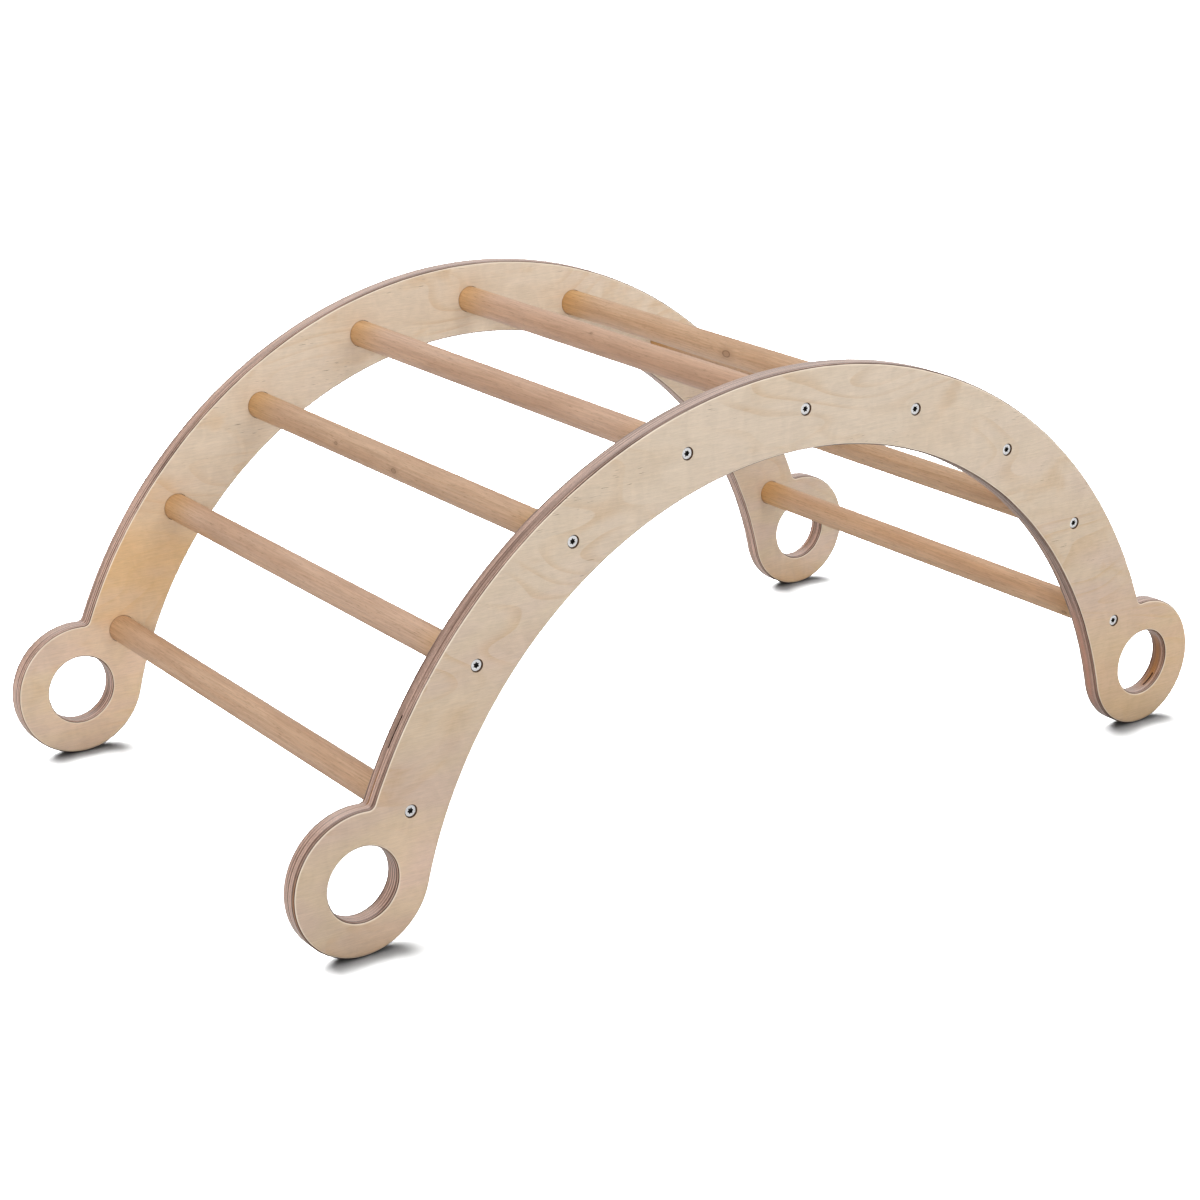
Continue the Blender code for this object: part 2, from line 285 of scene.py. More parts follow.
def veneer(s, where, seed, tone, amber, pale, painted_light_pool):
    """Colour and relief of a birch face veneer, with its grain along X.

    amber is a stripe's height, half height, strength and slope. pale is the two heights between which
    the veneer grows paler. painted_light_pool is the X, Z and radius of a pool of painted light and the
    tint that it gives.
    """
    amber_height, amber_half_height, amber_strength, amber_slope = amber
    pale_from, pale_to = pale
    painted_light_x, painted_light_z, painted_light_radius, painted_light_tint = painted_light_pool
    flat = s.vector("ADD", s.vector("MULTIPLY", where, (1.0, 0.0, 1.0)), (seed * 0.37, 0.0, seed * 0.53))
    x, _, z = s.split(where)

    # Broad pale, yellow and pink areas
    warm = s.noise(s.vector("MULTIPLY", flat, (5.0, 1.0, 15.0)), 1.0, 2.0, 0.55, 0.4)
    pink = s.noise(s.vector("MULTIPLY", flat, (9.0, 1.0, 24.0)), 1.0, 2.0, 0.55, 0.4)
    height = s.math("ADD", z, s.math("MULTIPLY", s.math("SUBTRACT", warm, 0.5), 0.25))
    paleness = s.ramp(height, pale_from, pale_to, 0.05, 0.90)
    colour = s.mix(s.ramp(pink, 0.38, 0.62), FACE_YELLOW, FACE_PINK)
    colour = s.mix(paleness, colour, FACE_PALE)
    colour = s.mix(s.ramp(warm, 0.50, 0.68, 0.0, 0.35), colour, FACE_YELLOW)

    # Growth rings, cut by the peeling lathe into stretched loops with one sharp side
    field = s.noise(s.vector("MULTIPLY", flat, (2.6, 1.0, 8.0)), 1.0, 2.0, 0.40, 0.10)
    rise = s.math("FRACT", s.math("MULTIPLY", field, 24.0))
    ring = s.math("MULTIPLY", s.ramp(rise, 0.55, 0.96), s.ramp(rise, 0.96, 1.0, 1.0, 0.0))
    ring_area = s.noise(s.vector("MULTIPLY", flat, (7.0, 1.0, 12.0)), 1.0, 1.0)
    ring = s.math("MULTIPLY", ring, s.ramp(ring_area, 0.46, 0.66, 0.10, 1.0))
    colour = s.mix(s.math("MULTIPLY", ring, 0.34), colour, FACE_LINE)

    # Smudges of warmer wood
    smudge = s.noise(s.vector("MULTIPLY", flat, (13.0, 1.0, 21.0)), 1.0, 3.0, 0.55, 1.0)
    colour = s.mix(s.ramp(smudge, 0.54, 0.72, 0.0, 0.30), colour, FACE_LINE)

    # The amber stripe of heartwood
    stripe = s.math("ADD", amber_height, s.math("MULTIPLY", x, amber_slope))
    stripe = s.math("ADD", stripe, s.math("MULTIPLY", s.math("SUBTRACT", pink, 0.5), 0.08))
    off_stripe = s.math("ABSOLUTE", s.math("SUBTRACT", z, stripe))
    in_stripe = s.ramp(off_stripe, 0.0, amber_half_height, 1.0, 0.0)
    colour = s.mix(s.math("MULTIPLY", in_stripe, amber_strength), colour, FACE_AMBER)

    # Fibres, vessel lines and the sheen of wavy grain
    fibre = s.noise(s.vector("MULTIPLY", flat, (26.0, 1.0, 520.0)), 1.0, 4.0, 0.65)
    vessel = s.noise(s.vector("MULTIPLY", flat, (120.0, 1.0, 1500.0)), 1.0, 2.0, 0.5)
    wave = s.noise(s.vector("MULTIPLY", flat, (60.0, 1.0, 36.0)), 1.0, 3.0, 0.6, 1.2)
    shade = s.ramp(fibre, 0.28, 0.72, 1.045 * tone, 0.935 * tone)
    shade = s.math("MULTIPLY", shade, s.ramp(vessel, 0.35, 0.75, 1.025, 0.93))
    shade = s.math("MULTIPLY", shade, s.ramp(wave, 0.30, 0.70, 0.965, 1.035))
    colour = s.scale_colour(colour, shade)

    # A pool of painted light, where less light bounces up from the shaded floor
    away = s.vector("DISTANCE", s.join(x, 0.0, z), (painted_light_x, 0.0, painted_light_z))
    painted_light_area = s.ramp(away, painted_light_radius * 0.2, painted_light_radius, 1.0, 0.0)
    colour = s.vector("MULTIPLY", colour, s.mix(painted_light_area, (1.0, 1.0, 1.0), painted_light_tint))

    # The sanded edge of the face is paler, and carries a painted highlight along the rounded edge
    normal = s.split(s.add("ShaderNodeNewGeometry").outputs["Normal"])
    edge = s.ramp(s.math("ABSOLUTE", normal[1]), 0.86, 0.995, 0.70, 0.0)
    colour = s.mix(edge, colour, FACE_EDGE)

    # Sparse dark flecks, in a few areas of the arch and none on the rings
    fleck = s.noise(s.vector("MULTIPLY", flat, (85.0, 1.0, 1100.0)), 1.0, 1.0, 0.4)
    fleck_area = s.noise(s.vector("MULTIPLY", flat, (11.0, 1.0, 26.0)), 1.0, 1.0)
    fleck = s.math("MULTIPLY", s.ramp(fleck, 0.66, 0.74), s.ramp(fleck_area, 0.53, 0.64))
    fleck = s.math("MULTIPLY", fleck, s.ramp(z, 2 * RING_RADIUS, 3 * RING_RADIUS))
    colour = s.mix(s.math("MULTIPLY", fleck, 0.65), colour, GLUE)
    relief = s.math("SUBTRACT", fibre, s.math("MULTIPLY", s.math("ADD", vessel, fleck), 0.5))
    return colour, relief


def core(s, where, seed, ply, lift):
    """Colour and relief of the inner plies where the panel's edge cuts through them.

    Every second ply, from the first one under the face, is a paler wood with its grain along Z.
    """
    crossed = s.math("MODULO", ply, 2.0)
    offset = s.math("MULTIPLY", s.math("ADD", ply, seed), 3.71)
    moved = s.vector("ADD", where, s.join(offset, offset, offset))
    normal = s.split(s.add("ShaderNodeNewGeometry").outputs["Normal"])
    end_on = s.blend(crossed, s.math("ABSOLUTE", normal[0]), s.math("ABSOLUTE", normal[2]))
    along_x = s.vector("MULTIPLY", moved, (16.0, 900.0, 500.0))
    along_z = s.vector("MULTIPLY", moved, (500.0, 900.0, 16.0))
    fibre = s.blend(crossed, s.noise(along_x, 1.0, 4.0, 0.65), s.noise(along_z, 1.0, 4.0, 0.65))
    drift = s.noise(s.vector("MULTIPLY", moved, (22.0, 8.0, 22.0)), 1.0, 3.0, 0.6)
    stretch = s.noise(s.vector("MULTIPLY", moved, (5.0, 0.5, 5.0)), 1.0, 1.0, 0.5)
    stain = s.noise(s.vector("MULTIPLY", moved, (7.0, 1.0, 7.0)), 1.0, 1.0)

    # Some plies stay dark or pale for a long stretch, so that the bands differ in width
    paleness = s.math("ADD", s.math("MULTIPLY", crossed, 0.45), s.ramp(stretch, 0.36, 0.64, -0.20, 0.75))
    paleness = s.math("ADD", paleness, s.ramp(drift, 0.40, 0.70, 0.12, -0.12), clamp=True)
    colour = s.mix(paleness, CORE_DARK, CORE_LIGHT)
    colour = s.mix(s.ramp(stain, 0.66, 0.74, 0.0, 0.7), colour, CORE_AMBER)
    shade = s.ramp(fibre, 0.30, 0.70, 1.16, 0.76)
    shade = s.math("MULTIPLY", shade, s.ramp(end_on, 0.2, 0.9, 1.04, 0.94))
    colour = s.scale_colour(colour, s.math("MULTIPLY", shade, lift))

    # Edges that face the floor get painted shade, and those that face up a painted sheen
    colour = s.scale_colour(colour, s.ramp(normal[2], -0.9, 0.3, 0.80, 1.0))
    return s.mix(s.ramp(normal[2], 0.75, 1.0, 0.0, 0.30), colour, CORE_SHEEN), fibre


def plywood(name, seed, tone, lift, amber, pale, painted_light_pool, stains):
    """Lacquered birch plywood. Its plies lie parallel to the XZ plane.

    tone brightens the face veneer and lift the edges, and amber, pale and painted_light_pool are the
    veneer's. Each stain is a centre in X and Z, a radius, the number of the ply that it colours most and a
    colour.
    """
    s = Shader(name)
    where = s.position()
    x, y, z = s.split(where)
    depth = s.math("SUBTRACT", HALF_WIDTH, s.math("ABSOLUTE", y))
    level = s.math("ADD", s.math("DIVIDE", s.math("SUBTRACT", depth, FACE_PLY), CORE_PLY), 1.0)
    ply = s.math("MINIMUM", s.math("MAXIMUM", s.math("FLOOR", level), 0.0), PLY_COUNT - 1.0)

    face_colour, face_relief = veneer(s, where, seed, tone, amber, pale, painted_light_pool)
    core_colour, core_relief = core(s, where, seed, ply, lift)
    for stain_x, stain_z, radius, stained_ply, stain_colour in stains:
        away = s.vector("LENGTH", s.vector("SUBTRACT", s.join(x, 0.0, z), (stain_x, 0.0, stain_z)))
        near = s.ramp(away, radius * 0.4, radius, 1.0, 0.0)
        here = s.ramp(s.math("ABSOLUTE", s.math("SUBTRACT", ply, stained_ply)), 0.0, 4.0, 0.95, 0.20)
        core_colour = s.mix(s.math("MULTIPLY", near, here), core_colour, stain_colour)

    # The plies next to each face are sanded through at a slant, and darkened: painted shade against the
    # light that the rounded edge catches
    middle = s.math("ABSOLUTE", s.math("SUBTRACT", level, PLY_COUNT / 2))
    outermost = s.ramp(middle, PLY_COUNT / 2 - 2.6, PLY_COUNT / 2 - 1.6)
    core_colour = s.scale_colour(core_colour, s.blend(outermost, 1.0, 0.76))
    middle_ply = (PLY_COUNT - 1) / 2
    off_middle = s.math("ABSOLUTE", s.math("SUBTRACT", ply, middle_ply))
    inner = s.math("LESS_THAN", off_middle, middle_ply - 0.5)
    colour = s.mix(inner, face_colour, core_colour)

    # Glue lines. The two next to each face are the widest and darkest
    nearest = s.math("ABSOLUTE", s.math("SUBTRACT", s.math("FRACT", s.math("ADD", level, 0.5)), 0.5))
    wander = s.noise(s.vector("MULTIPLY", where, (40.0, 400.0, 40.0)), 1.0, 2.0, 0.6)
    squeeze = s.noise(s.vector("MULTIPLY", where, (11.0, 60.0, 11.0)), 1.0, 2.0, 0.5)
    half_line = s.blend(outermost, 0.10, 0.24)
    half_line = s.math("MULTIPLY", half_line, s.ramp(wander, 0.30, 0.70, 0.75, 1.2))
    glue = s.ramp(s.math("DIVIDE", nearest, half_line), 0.7, 1.3, 1.0, 0.0)
    glue = s.math("MULTIPLY", glue, s.math("LESS_THAN", middle, PLY_COUNT / 2 - 0.7))
    strength = s.blend(outermost, 0.80, 1.0)
    strength = s.math("MULTIPLY", strength, s.ramp(squeeze, 0.35, 0.60, 0.65, 1.0))
    colour = s.mix(s.math("MULTIPLY", glue, strength), colour, GLUE)

    relief = s.math("SUBTRACT", s.blend(inner, face_relief, core_relief), s.math("MULTIPLY", glue, 0.6))
    roughness = s.blend(inner, s.ramp(face_relief, 0.0, 0.6, 0.38, 0.48), 0.42)
    return s.finish(colour, roughness, relief, 0.00010, Coat_Weight=0.35, Coat_Roughness=0.25)


def raw_wood(name, dark, pale):
    """Unfinished wood, as on the walls that a drill leaves and deep in a gap in the plies, in dark colours
    that paint in their shade.
    """
    s = Shader(name)
    rings = s.noise(s.vector("MULTIPLY", s.position(), (300.0, 2500.0, 300.0)), 1.0, 2.0, 0.5)
    colour = s.mix(s.ramp(rings, 0.3, 0.7), dark, pale)
    return s.finish(colour, 0.75, rings, 0.0001, Specular_IOR_Level=0.2)


RUNG_LIGHT = (0.620, 0.412, 0.285)
RUNG_DARK = (0.530, 0.325, 0.208)
RUNG_FLECK = (0.320, 0.185, 0.110)
RUNG_END_TINT = (1.00, 0.90, 0.60)
KNOT = (0.215, 0.110, 0.062)
RING_SPACING = 0.0026
KNOT_STRETCH = (1.0, 0.55, 1.0)


def dowel(name, seed, centre, turn, tone, warmth, stain, knots):
    """Sanded and lacquered beech, turned about Y. turn is the direction of its growth rings, in radians.

    stain is the strength of the warm tint at both ends. Each knot is an angle round the rung in
    degrees from +Z towards +X, a place along Y and a size.
    """
    s = Shader(name)
    local = s.vector("SUBTRACT", s.position(), (centre[0], 0.0, centre[2]))
    moved = s.vector("ADD", local, (seed * 1.7, seed * 2.3, seed * 0.9))

    knot_shade = 0.0
    knot_bend = 0.0
    for angle, along, size in knots:
        turned = math.radians(angle)
        spot = (RUNG_RADIUS * math.sin(turned), along, RUNG_RADIUS * math.cos(turned))
        from_spot = s.vector("MULTIPLY", s.vector("SUBTRACT", local, spot), KNOT_STRETCH)
        away = s.vector("LENGTH", from_spot)
        off_rim = s.math("ABSOLUTE", s.math("SUBTRACT", away, size * 0.75))
        rim = s.ramp(off_rim, 0.0, size * 0.30, 1.0, 0.0)
        heart = s.ramp(away, size * 0.35, size, 0.35, 0.0)
        knot_shade = s.math("MAXIMUM", knot_shade, s.math("MAXIMUM", rim, heart))
        knot_bend = s.math("ADD", knot_bend, s.ramp(away, 0.0, size * 5.0, 1.0, 0.0))

    # Growth rings: flat layers that wander along the rung, which draws loops where they graze it
    bend = s.noise(s.vector("MULTIPLY", moved, (30.0, 4.5, 30.0)), 1.0, 1.5, 0.5)
    across = (math.cos(turn) / RING_SPACING, 0.0, math.sin(turn) / RING_SPACING)
    rise = s.vector("DOT_PRODUCT", moved, across)
    rise = s.math("ADD", rise, s.math("MULTIPLY", bend, 3.2))
    rise = s.math("FRACT", s.math("ADD", rise, s.math("MULTIPLY", knot_bend, 2.0)))
    ring = s.math("MULTIPLY", s.ramp(rise, 0.2, 0.92), s.ramp(rise, 0.92, 1.0, 1.0, 0.0))

    streak = s.noise(s.vector("MULTIPLY", moved, (620.0, 20.0, 620.0)), 1.0, 5.0, 0.70)
    drift = s.noise(s.vector("MULTIPLY", moved, (50.0, 6.0, 50.0)), 1.0, 2.0, 0.5)
    pores = s.noise(s.vector("MULTIPLY", moved, (1500.0, 110.0, 1500.0)), 1.0, 2.0, 0.5)

    colour = s.mix(s.ramp(drift, 0.32, 0.68), RUNG_LIGHT, RUNG_DARK)
    colour = s.mix(s.math("MULTIPLY", ring, 0.46), colour, RUNG_DARK)
    colour = s.mix(s.ramp(pores, 0.56, 0.72, 0.0, 0.55), colour, RUNG_FLECK)
    colour = s.scale_colour(colour, s.ramp(streak, 0.30, 0.70, 1.11, 0.87))
    if knots:
        colour = s.mix(s.ramp(knot_bend, 0.45, 1.0, 0.0, 0.35), colour, RUNG_FLECK)
        colour = s.mix(s.math("MULTIPLY", knot_shade, 0.8), colour, KNOT)

    # Both ends are tinted warmer and darker
    from_face = s.math("SUBTRACT", INNER_FACE_Y, s.math("ABSOLUTE", s.split(local)[1]))
    end = s.math("POWER", s.ramp(from_face, 0.0, END_TINT_LENGTH, 1.0, 0.0), 1.5)
    end = s.math("MULTIPLY", end, stain)
    colour = s.vector("MULTIPLY", colour, s.mix(end, (1.0, 1.0, 1.0), RUNG_END_TINT))
    tint = (tone * (1.0 + 0.4 * warmth), tone, tone * (1.0 - 2.0 * warmth))
    colour = s.vector("MULTIPLY", colour, tint)
    relief = s.math("SUBTRACT", s.math("MULTIPLY", streak, 0.6), s.math("MULTIPLY", pores, 0.4))
    return s.finish(colour, s.ramp(streak, 0.3, 0.7, 0.40, 0.52), relief, 0.00008)


PAINTED_RIM_SHADE = (0.100, 0.090, 0.080)


def zinc():
    """Bright zinc plating with handling scratches, and painted shade in the rounding of the head."""
    s = Shader("zinc_plating")
    where = s.position()
    cloud = s.noise(s.vector("MULTIPLY", where, (420.0, 420.0, 420.0)), 1.0, 3.0, 0.6)
    scratch = s.noise(s.vector("MULTIPLY", where, (9000.0, 2000.0, 700.0)), 1.0, 1.0, 0.5)
    colour = s.mix(s.ramp(cloud, 0.3, 0.7), (0.86, 0.86, 0.86), (0.70, 0.70, 0.71))
    normal = s.split(s.add("ShaderNodeNewGeometry").outputs["Normal"])
    # The dark rim of the head is painted shade, for the shadowed gap round the head
    rounding = s.ramp(s.math("ABSOLUTE", normal[1]), 0.70, 0.98, 0.9, 0.0)
    sunk = s.math("SUBTRACT", HALF_WIDTH - HEAD_SINK, s.math("ABSOLUTE", s.split(where)[1]))
    painted_rim_shade = s.math("MULTIPLY", rounding, s.ramp(sunk, HEAD_RIM, 3 * HEAD_RIM, 1.0, 0.0))
    colour = s.mix(painted_rim_shade, colour, PAINTED_RIM_SHADE)
    roughness = s.ramp(s.math("ADD", cloud, s.math("MULTIPLY", scratch, 0.4)), 0.4, 0.9, 0.22, 0.42)
    return s.finish(colour, roughness, scratch, 0.00001, metallic=0.6)


def dark_recess():
    """The driver recess, painted near black: painted shade deep in the recess."""
    s = Shader("screw_recess")
    cloud = s.noise(s.vector("MULTIPLY", s.position(), (900.0, 900.0, 900.0)), 1.0, 2.0, 0.5)
    colour = s.mix(s.ramp(cloud, 0.3, 0.7), (0.006, 0.006, 0.006), (0.022, 0.021, 0.020))
    return s.finish(colour, 0.6, Specular_IOR_Level=0.25)


def floor_paper():
    """White paper, exposed so that the camera sees it as pure white outside the contact shadows."""
    material = bpy.data.materials.new("floor_paper")
    material.use_nodes = True
    tree = material.node_tree
    tree.nodes.remove(tree.nodes["Principled BSDF"])
    paper = tree.nodes.new("ShaderNodeBsdfDiffuse")
    exposure = tree.nodes.new("ShaderNodeMapRange")
    exposure.inputs["To Min"].default_value = FLOOR_BOUNCE
    exposure.inputs["To Max"].default_value = FLOOR_EXPOSURE
    seen = tree.nodes.new("ShaderNodeLightPath").outputs["Is Camera Ray"]
    tree.links.new(seen, exposure.inputs["Value"])
    tree.links.new(exposure.outputs["Result"], paper.inputs["Color"])
    tree.links.new(paper.outputs["BSDF"], tree.nodes["Material Output"].inputs["Surface"])
    return material


# Mesh tools

def evaluated_mesh(item, name):
    """The mesh of an object with its modifiers applied. The object itself is removed."""
    bpy.context.view_layer.update()
    mesh = bpy.data.meshes.new_from_object(item.evaluated_get(bpy.context.evaluated_depsgraph_get()))
    mesh.name = name
    bpy.data.objects.remove(item, do_unlink=True)
    return mesh


def weld(mesh):
    shape = bmesh.new()
    shape.from_mesh(mesh)
    bmesh.ops.remove_doubles(shape, verts=shape.verts, dist=WELD_DISTANCE)
    bmesh.ops.recalc_face_normals(shape, faces=shape.faces)
    shape.to_mesh(mesh)
    shape.free()


def add_object(name, data, location=(0, 0, 0), rotation=(0, 0, 0)):
    item = bpy.data.objects.new(name, data)
    item.location = location
    item.rotation_euler = rotation
    bpy.context.scene.collection.objects.link(item)
    return item


def bake_place(item):
    """Moves the object's place into its mesh, so that textures read positions in the frame."""
    bpy.context.view_layer.update()
    item.data.transform(item.matrix_world)
    item.matrix_world.identity()
    return item


def arc(centre, radius, start, end, step):
    """Points of an arc. Angles run from +Z towards +X, and both ends are included."""
    count = max(1, math.ceil(abs(end - start) / step))
    angles = [start + (end - start) * i / count for i in range(count + 1)]
    return [(centre[0] + radius * math.sin(a), centre[1] + radius * math.cos(a)) for a in angles]


def direction(origin, target):
    """Angle from +Z towards +X of the line from one point to another."""
    return math.atan2(target[0] - origin[0], target[1] - origin[1])


def panel_outline(inset):
    """Closed outline of a side panel in X and Z, moved into the wood by inset."""
    arcs_centre = (0.0, ARC_Z)
    ring_centre = (RING_X, RING_Z)
    ring_distance = INNER_RADIUS + RING_RADIUS
    ring_angle = direction(arcs_centre, ring_centre)
    notch_to_arcs = OUTER_RADIUS + NOTCH_RADIUS
    notch_to_ring = RING_RADIUS + NOTCH_RADIUS
    cosine = notch_to_arcs ** 2 + ring_distance ** 2 - notch_to_ring ** 2
    cosine /= 2 * notch_to_arcs * ring_distance
    notch_angle = ring_angle - math.acos(cosine)
    notch_centre = (notch_to_arcs * math.sin(notch_angle), ARC_Z + notch_to_arcs * math.cos(notch_angle))
    ring_start = direction(ring_centre, notch_centre)
    ring_end = direction(ring_centre, arcs_centre) + 2 * math.pi
    half = arc(arcs_centre, OUTER_RADIUS - inset, 0, notch_angle, ARC_STEP)
    notch = arc(notch_centre, NOTCH_RADIUS + inset, notch_angle + math.pi, ring_start + math.pi, NOTCH_STEP)
    half += notch[1:]
    half += arc(ring_centre, RING_RADIUS - inset, ring_start, math.pi, RING_STEP)[1:]
    half += arc(ring_centre, RING_RADIUS - inset, math.pi, ring_end, RING_STEP)[1:]
    half += arc(arcs_centre, INNER_RADIUS + inset, ring_angle, 0, ARC_STEP)[1:]
    return half + [(-x, z) for x, z in reversed(half[1:-1])]


def filled_outlines(name, outlines, extrude, bevel=0.0, bevel_segments=1):
    """Mesh of closed outlines, filled and extruded both ways, with a rounded edge."""
    curve = bpy.data.curves.new(name, "CURVE")
    curve.dimensions = "2D"
    curve.fill_mode = "BOTH"
    curve.extrude = extrude
    curve.bevel_depth = bevel
    curve.bevel_resolution = bevel_segments - 1
    for points in outlines:
        spline = curve.splines.new("POLY")
        spline.points.add(len(points) - 1)
        for point, (x, z) in zip(spline.points, points):
            point.co = (x, z, 0.0, 1.0)
        spline.use_cyclic_u = True
    mesh = evaluated_mesh(add_object(name, curve), name)
    bpy.data.curves.remove(curve)
    weld(mesh)
    return mesh


def turned_mesh(name, profile, segments):
    """A solid turned about Z from (radius, height) points that run from top to bottom."""
    outline = bpy.data.meshes.new(name)
    points = [(radius, 0.0, height) for radius, height in profile]
    outline.from_pydata(points, [(i, i + 1) for i in range(len(points) - 1)], [])
    item = add_object(name, outline)
    screw = item.modifiers.new("turn", "SCREW")
    screw.steps = segments
    screw.render_steps = segments
    screw.use_merge_vertices = True
    screw.merge_threshold = WELD_DISTANCE
    mesh = evaluated_mesh(item, name)
    bpy.data.meshes.remove(outline)
    weld(mesh)
    return mesh


def cut(item, cutter):
    """Cuts one object out of another and removes it. The cut faces take the cutter's material."""
    boolean = item.modifiers.new("cut", "BOOLEAN")
    boolean.operation = "DIFFERENCE"
    boolean.solver = "EXACT"
    boolean.material_mode = "TRANSFER"
    boolean.object = cutter
    bpy.context.view_layer.update()
    mesh = bpy.data.meshes.new_from_object(item.evaluated_get(bpy.context.evaluated_depsgraph_get()))
    old = item.data
    item.modifiers.clear()
    item.data = mesh
    mesh.name = item.name
    bpy.data.meshes.remove(old)
    bpy.data.objects.remove(cutter, do_unlink=True)


def smooth(item):
    """Smooth shading with sharp edges, and flat faces that stay flat next to rounded ones."""
    item.data.shade_smooth()
    item.data.set_sharp_from_angle(angle=SHARP_ANGLE)
    weighted = item.modifiers.new("weighted_normals", "WEIGHTED_NORMAL")
    weighted.keep_sharp = True
    weighted.weight = 100


def stand_for(item, node):
    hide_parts(node)
    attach(item, "root")


# Pieces

def rung_centre(number):
    low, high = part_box(f"rung_{number}")
    return (low + high) / 2


def facing(side):
    """Rotation that turns local +Z outwards, to -Y on the near side or +Y on the far side."""
    return (-side * math.pi / 2, 0, 0)


def seat_profile():
    """Counterbore, countersink, screw hole and rung socket, with Z = 0 on the panel's outer face."""
    seat = -HEAD_SINK - HEAD_RIM
    cone_end = seat - (HEAD_RADIUS - PILOT_RADIUS)
    socket_floor = SOCKET_DEPTH - THICKNESS
    inner = -THICKNESS - CUT_OVERRUN
    return [
        (0.0, CUT_OVERRUN),
        (COUNTERBORE_RADIUS, CUT_OVERRUN),
        (COUNTERBORE_RADIUS, seat),
        (HEAD_RADIUS + GAP, seat - GAP),
        (PILOT_RADIUS, cone_end - GAP),
        (PILOT_RADIUS, socket_floor),
        (RUNG_RADIUS + SOCKET_GAP, socket_floor),
        (RUNG_RADIUS + SOCKET_GAP, inner),
        (0.0, inner),
    ]


def core_gap(centre, radius, into, start, end, y, height):
    """A thin lens that cuts a slit into a panel's edge, between two angles from +Z towards +X.

    into is 1 where the wood lies outside the radius and -1 where it lies inside. y is the slit's place
    across the arch.
    """
    points = arc(centre, radius - into * CUT_OVERRUN, start, end, ARC_STEP)
    for i in range(GAP_POINTS + 1):
        angle = end + (start - end) * i / GAP_POINTS
        reach = radius + into * GAP_REACH * math.sin(math.pi * i / GAP_POINTS) ** 0.5
        points.append((centre[0] + reach * math.sin(angle), centre[1] + reach * math.cos(angle)))
    mesh = filled_outlines("core_gap", [points], height * 0.1, height * 0.4, 2)
    return bake_place(add_object("core_gap", mesh, (0, y, 0), (math.pi / 2, 0, 0)))


def join_meshes(name, items, material):
    """One object made of several, which it replaces."""
    shape = bmesh.new()
    for item in items:
        shape.from_mesh(item.data)
        bpy.data.objects.remove(item)
    mesh = bpy.data.meshes.new(name)
    shape.to_mesh(mesh)
    shape.free()
    mesh.materials.append(material)
    return add_object(name, mesh)


def side_panel(side_name, side, material, bore_material, gap_material, gaps):
    outlines = [panel_outline(ROUNDOVER)]
    for ring_side in (-1, 1):
        hole = arc((ring_side * RING_X, RING_Z), RING_HOLE_RADIUS + ROUNDOVER, 0, 2 * math.pi, RING_STEP)
        outlines.append(hole[:-1])
    name = f"panel_{side_name}"
    mesh = filled_outlines(name, outlines, THICKNESS / 2 - ROUNDOVER, ROUNDOVER, ROUNDOVER_SEGMENTS)
    mesh.materials.append(material)
    panel_y = side * (HALF_WIDTH - THICKNESS / 2)
    panel = bake_place(add_object(name, mesh, (0, panel_y, 0), (math.pi / 2, 0, 0)))

    seat = turned_mesh("seat", seat_profile(), BORE_SEGMENTS)
    seats = []
    for number in range(1, RUNG_COUNT + 1):
        centre = rung_centre(number)
        place = (centre.x, side * HALF_WIDTH, centre.z)
        seats.append(bake_place(add_object("seat", seat.copy(), place, facing(side))))
    cut(panel, join_meshes("seats", seats, bore_material))
    cut(panel, join_meshes("core_gaps", [core_gap(*gap) for gap in gaps], gap_material))
    smooth(panel)
    stand_for(panel, f"side_panel_{side_name}")


def rung(number, material):
    pilot_end = HALF_WIDTH - HEAD_SINK - SCREW_LENGTH - PILOT_OVERRUN
    upper = [
        (0.0, pilot_end),
        (PILOT_RADIUS, pilot_end + PILOT_RADIUS),
        (PILOT_RADIUS, RUNG_HALF_LENGTH),
        (RUNG_RADIUS - RUNG_CHAMFER, RUNG_HALF_LENGTH),
        (RUNG_RADIUS, RUNG_HALF_LENGTH - RUNG_CHAMFER),
    ]
    profile = upper + [(radius, -height) for radius, height in reversed(upper)]
    mesh = turned_mesh(f"dowel_{number}", profile, RUNG_SEGMENTS)
    mesh.materials.append(material)
    centre = rung_centre(number)
    item = bake_place(add_object(f"dowel_{number}", mesh, (centre.x, 0, centre.z), (math.pi / 2, 0, 0)))
    smooth(item)
    stand_for(item, f"rung_{number}")


def add_ring(shape, height, radius_at):
    """A closed ring of vertices about Z. radius_at gives the radius at a part of a turn."""
    ring = []
    for i in range(SCREW_SEGMENTS):
        turn = i / SCREW_SEGMENTS
        angle = 2 * math.pi * turn
        radius = radius_at(turn)
        ring.append(shape.verts.new((radius * math.cos(angle), radius * math.sin(angle), height)))
    return ring


def thread_radius(height, neck, turn):
    """Radius of the thread, which grows in over one turn below the neck and tapers at the tip."""
    taper = min(1.0, (height + SCREW_LENGTH) / TIP_LENGTH)
    start = min(1.0, (neck - height) / THREAD_PITCH)
    phase = (height / THREAD_PITCH - turn) % 1.0
    crest = max(0.0, 1.0 - abs(phase - 0.5) / THREAD_HALF_WIDTH)
    return CORE_RADIUS * taper ** TIP_BLUNTNESS + (THREAD_RADIUS - CORE_RADIUS) * crest * start * taper


